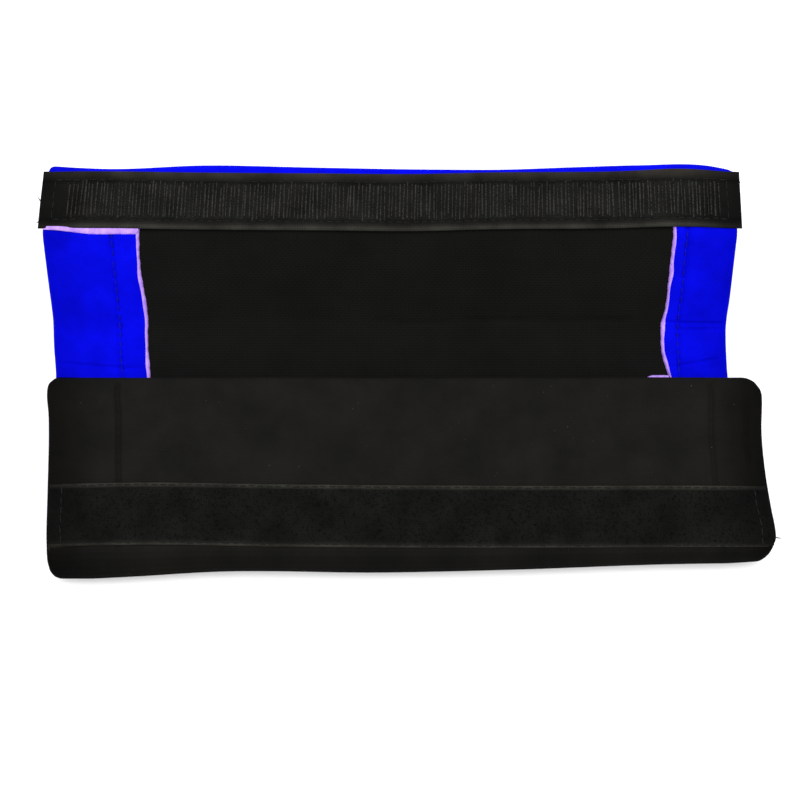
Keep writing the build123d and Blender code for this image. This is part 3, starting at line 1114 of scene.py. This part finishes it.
class PAD_OT_stage(PadOperator):
    """Adds the floor, the lights and the camera"""

    bl_idname = "pad.stage"
    bl_label = "Stage"

    def build(self, settings):
        bpy.ops.object.select_all(action="DESELECT")
        bpy.ops.mesh.primitive_plane_add(size=12, location=(0, 0, -0.0002))
        floor = bpy.context.object
        floor.name = "floor"
        floor.data.materials.append(material("studio_paper", studio_paper))
        world = bpy.data.worlds.new("studio")
        bpy.context.scene.world = world
        world.use_nodes = True
        background = world.node_tree.nodes["Background"]
        background.inputs["Color"].default_value = (1, 1, 1, 1)
        background.inputs["Strength"].default_value = 0.65
        for name, strength, spread, lean in LAMPS:
            bpy.ops.object.light_add(type="SUN", location=(0, 0, 1))
            lamp = bpy.context.object
            lamp.name = name
            lamp.data.energy = strength
            lamp.data.angle = math.radians(spread)
            aim = -Vector((*lean, 1.0))
            lamp.rotation_euler = aim.to_track_quat("-Z", "Y").to_euler()
        self.add_camera()
        bpy.context.scene.view_settings.view_transform = "Standard"

    def add_camera(self):
        """A near camera that looks down on the pad from its front edge."""
        target = Vector((0.0, 0.070, 0.012))
        elevation = math.radians(69.8)
        distance = 0.452                   # from the target, in metres
        data = bpy.data.cameras.new("camera")
        camera = new_object("camera", data)
        camera.location = target + Vector((0, -math.cos(elevation), math.sin(elevation))) * distance
        camera.rotation_euler = (math.pi / 2 - elevation, 0, 0)
        data.sensor_width = 36.0
        data.lens = 50.13
        data.shift_y = -0.019375
        data.clip_start = 0.01
        bpy.context.scene.camera = camera


class SectionOperator(PadOperator):
    """Base of the operators that make one piece for each section of the strip."""

    def build(self, settings):
        for section in SECTIONS:
            self.make(section, settings)


class PAD_OT_padding(SectionOperator):
    """Builds the padded cover, section by section, with its end hems"""

    bl_idname = "pad.padding"
    bl_label = "Padded cover"
    make = staticmethod(make_cover)


class PAD_OT_lining(SectionOperator):
    """Builds the knit lining between the hems"""

    bl_idname = "pad.lining"
    bl_label = "Lining"
    make = staticmethod(make_lining)


class PAD_OT_raw_edges(SectionOperator):
    """Builds the hems' cut foam edges"""

    bl_idname = "pad.raw_edges"
    bl_label = "Cut foam edges"
    make = staticmethod(make_raw_edges)


VISIBLE_TAPE = 24.2                    # a tape cups a little between its selvedges, so it looks narrower
HOOK_STATION = KNEE_STATION + HALF_GAP
# How far the sewn tapes stray from a straight line: (place along the pad, mm).
HOOK_STRAY = ((-141, 0.45), (-105, 0.3), (-90, 0.0), (-28, -0.5), (10, -0.8), (41, -0.1), (93, 0.4),
              (113, 1.1), (141, 0.5))
LOOP_STRAY = ((-139, -0.2), (-100, -0.8), (-50, -0.1), (0, 0.3), (60, 0.5), (100, 0.4), (139, 0.5))


def on_flap(piece, level, finish, slot_name, *nodes):
    """Sews a flat piece along the flap's edge, this high over its hem."""
    lay(piece, HOOK_STATION, HEM_LEVEL + level, stray=HOOK_STRAY, overhang=TAPE_OVERHANG)
    finish_piece(piece, "flap_edge", finish, nodes)


def on_front(piece, level, finish, slot_name, *nodes):
    """Sews a flat piece across the front panel's outer face, this high over it."""
    lay(piece, LOOP_STATION, -level, outward=True, stray=LOOP_STRAY)
    finish_piece(piece, "front", finish, nodes)


def make_tape(name, half):
    """A tape's woven backing, still flat."""
    return flat_bar(name, half, VISIBLE_TAPE, TAPE_THICKNESS, 220, 24)


class PAD_OT_hook_tape(PadOperator):
    """Builds the hook tape: woven backing, ribs and hooks"""

    bl_idname = "pad.hook_tape"
    bl_label = "Hook tape"

    def build(self, settings):
        tape = make_tape("hook_tape_backing", HOOK_TAPE_HALF)
        web = material("woven_nylon_hook_tape", tape_web, HOOK_TAPE_BANDS)
        on_flap(tape, 0.05, web, "tape", "hook_tape")
        self.hooks(settings)

    def hooks(self, settings):
        rng = np.random.default_rng(5)
        start, end = 12.0 - HOOK_TAPE_HALF, HOOK_TAPE_HALF - 9.0
        low, high = 5.4, VISIBLE_TAPE - 5.2
        count = int((end - start) / settings.hook_pitch)
        x = np.linspace(start, end, count) + rng.normal(0, 0.16, count)
        y = np.linspace(low, high, settings.hook_rows)
        grid_x, grid_y = np.meshgrid(x, y)
        lean = np.repeat(rng.normal(0, 0.02, count)[None, :], len(y), 0)
        total = grid_x.size
        places = np.stack(((grid_x + lean * (grid_y - low)).ravel() + rng.normal(0, 0.16, total),
                           grid_y.ravel() + rng.normal(0, 0.25, total), np.full(total, 0.0)), axis=-1) * MM
        flips = np.repeat(np.where(np.arange(count) % 2, 0, math.pi)[None, :], len(y), 0).ravel()
        sizes = rng.uniform(0.85, 1.1, (total, 3)) * (1, 1, 0.82)
        field = copies("hooks", small_base(hook_base), places, flips + rng.normal(0, 0.25, total), sizes)
        middle = (low + high) / 2
        places = np.stack((x + lean[0] * (middle - low), middle + rng.normal(0, 0.35, count),
                           np.full(count, 0.1)), axis=-1) * MM
        sizes = np.stack((rng.uniform(0.3, 0.6, count), rng.uniform(0.85, 1.04, count) * (high - low + 1),
                          rng.uniform(0.15, 0.35, count)), axis=-1)
        ribs = copies("ribs", small_base(rib_base), places, rng.normal(0, 0.015, count), sizes)
        select_only(field)
        ribs.select_set(True)
        bpy.ops.object.join()
        on_flap(field, TAPE_THICKNESS, material("nylon_hooks", hook_nylon), "hooks", "hook_field")


def rib_base():
    """One rib of the hook strip, a millimetre each way, cut along its length so that it can bend."""
    bpy.ops.mesh.primitive_cube_add(size=1 * MM, location=(0, 0, 0))
    bpy.ops.object.mode_set(mode="EDIT")
    bpy.ops.mesh.select_all(action="DESELECT")
    bpy.ops.object.mode_set(mode="OBJECT")
    rib = bpy.context.object
    for edge in rib.data.edges:
        ends = [rib.data.vertices[i].co for i in edge.vertices]
        edge.select = abs(ends[0].y - ends[1].y) > 0.5 * MM
    bpy.ops.object.mode_set(mode="EDIT")
    bpy.ops.mesh.select_mode(type="EDGE")
    bpy.ops.mesh.subdivide(number_cuts=5)
    bpy.ops.mesh.select_mode(type="VERT")
    bpy.ops.object.mode_set(mode="OBJECT")


class PAD_OT_loop_tape(PadOperator):
    """Builds the loop tape: woven backing and napped pile"""

    bl_idname = "pad.loop_tape"
    bl_label = "Loop tape"

    def build(self, settings):
        tape = make_tape("loop_tape_backing", LOOP_TAPE_HALF - 0.8)
        web = material("woven_nylon_loop_tape", tape_web, LOOP_TAPE_BANDS)
        on_front(tape, 0.05, web, "tape", "loop_tape")
        self.pile(settings)

    def pile(self, settings):
        rng = np.random.default_rng(9)
        total = settings.loop_count
        places = np.stack((rng.uniform(-1, 1, total) * (LOOP_TAPE_HALF - 2.0),
                           rng.uniform(2.0, VISIBLE_TAPE - 2.0, total), rng.uniform(-0.35, -0.1, total)),
                          axis=-1) * MM
        turns = rng.uniform(0, math.tau, total)
        sizes = rng.uniform(0.7, 1.25, (total, 3))
        pile = copies("pile", small_base(loop_base), places, turns, sizes)
        on_front(pile, TAPE_THICKNESS, material("nylon_loops", loop_nylon), "pile", "loop_pile")


class PAD_OT_stitching(PadOperator):
    """Builds the rows of stitches on the tapes and the end hems"""

    bl_idname = "pad.stitching"
    bl_label = "Stitching"

    def build(self, settings):
        thread = sewing_thread()
        rows = tape_rows(HOOK_TAPE_HALF, 3.7)
        hook = stitches("hook_tape_stitches", rows, settings, 1)
        on_flap(hook, 0, thread, "thread", "hook_tape_stitching")
        rows = tape_rows(LOOP_TAPE_HALF, 0.9)
        loop = stitches("loop_tape_stitches", rows, settings, 2)
        on_front(loop, 0, thread, "thread", "loop_tape_stitching")
        for index, section in enumerate(SECTIONS):
            self.hem_rows(section, settings, index)

    def hem_rows(self, section, settings, index):
        start = section.start + (3 if section.free == "start" else 0)
        end = KNEE_STATION if section.free == "end" else section.end
        left, right = settings.left_seam - HALF_LENGTH, HALF_LENGTH - settings.right_seam
        rows = [(x, start, x, end, HEM_LEVEL - 0.7) for x in (left, right)]
        piece = stitches(f"{section.name}_hem_stitches", rows, settings, 10 + index)
        lay(piece, 0, 0)
        colours = () if section.name == "front" else ("#0305A8", "#020488")
        piece.data.materials.append(sewing_thread(*colours))
        select_only(piece)
        bpy.ops.object.shade_smooth()
        section.join(piece)
        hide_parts(STITCHED[section.name])


STITCHED = {"front": "front_hem_stitching", "bottom": "bottom_fold_hem_stitching",
            "back": "back_hem_stitching", "top": "top_fold_hem_stitching", "flap": "flap_hem_stitching"}


class PAD_OT_trim(PadOperator):
    """Adds loose thread ends at the tapes, and a little lint on the cloth"""

    bl_idname = "pad.trim"
    bl_label = "Thread ends and lint"

    def build(self, settings):
        base = small_base(stitch_base)
        ends = self.fibres("hook_thread_ends", base, ((-141.6, 12.0, -0.9, 4.2), (-141.2, 3.0, 0.6, 2.6),
                                                      (141.2, 19.0, 1.1, 2.2)), 0.45)
        on_flap(ends, 0, sewing_thread(), "thread")
        ends = self.fibres("loop_thread_ends", base, ((139.6, 20.0, 0.2, 3.8), (-138.6, 24.0, 1.3, 2.4),
                                                      (60.0, 24.2, 1.9, 1.8), (-96.0, 24.1, 2.6, 2.0)), 0.3)
        on_front(ends, 0.1, sewing_thread(), "thread")
        rng = np.random.default_rng(21)
        spots = [(rng.uniform(-130, 130), rng.uniform(4, 41), rng.uniform(0, 3), rng.uniform(0.3, 0.9))
                 for _ in range(34)]
        lint = self.fibres("front_lint", base, spots, 0.85, 0.16)
        lay(lint, 0, 0, outward=True)
        finish_piece(lint, "front", material("cotton_lint", lint_fibre), ())

    def fibres(self, name, base, spots, height, thickness=0.4):
        """Short straight fibres: (x, y, heading, length) each, this high over the cloth."""
        x, y, turns, lengths = np.array(spots).T
        places = np.stack((x, y, np.full(len(x), height)), axis=-1) * MM
        sizes = np.stack((lengths, np.full(len(x), thickness), np.full(len(x), thickness)), axis=-1)
        return copies(name, base, places, turns, sizes)


class PAD_PT_panel(bpy.types.Panel):
    """Sidebar panel that lists the pad's operators."""

    bl_label = "Shoulder Pad"
    bl_idname = "PAD_PT_panel"
    bl_space_type = "VIEW_3D"
    bl_region_type = "UI"
    bl_category = "Shoulder Pad"

    def draw(self, context):
        settings = context.scene.shoulder_pad
        for name in ("left_hem", "right_hem", "hook_pitch", "loop_count", "stitch_length"):
            self.layout.prop(settings, name)
        for operator in OPERATORS:
            self.layout.operator(operator.bl_idname)


OPERATORS = (PAD_OT_stage, PAD_OT_padding, PAD_OT_lining, PAD_OT_raw_edges, PAD_OT_hook_tape,
             PAD_OT_loop_tape, PAD_OT_stitching, PAD_OT_trim)
CLASSES = (PadSettings,) + OPERATORS + (PAD_PT_panel,)


def register():
    for item in CLASSES:
        bpy.utils.register_class(item)
    bpy.types.Scene.shoulder_pad = PointerProperty(type=PadSettings)


def unregister():
    del bpy.types.Scene.shoulder_pad
    for item in reversed(CLASSES):
        bpy.utils.unregister_class(item)


def main():
    register()
    bpy.ops.pad.stage()
    bpy.ops.pad.padding()
    bpy.ops.pad.lining()
    bpy.ops.pad.raw_edges()
    bpy.ops.pad.hook_tape()
    bpy.ops.pad.loop_tape()
    bpy.ops.pad.stitching()
    bpy.ops.pad.trim()


if __name__ == "__main__":
    main()
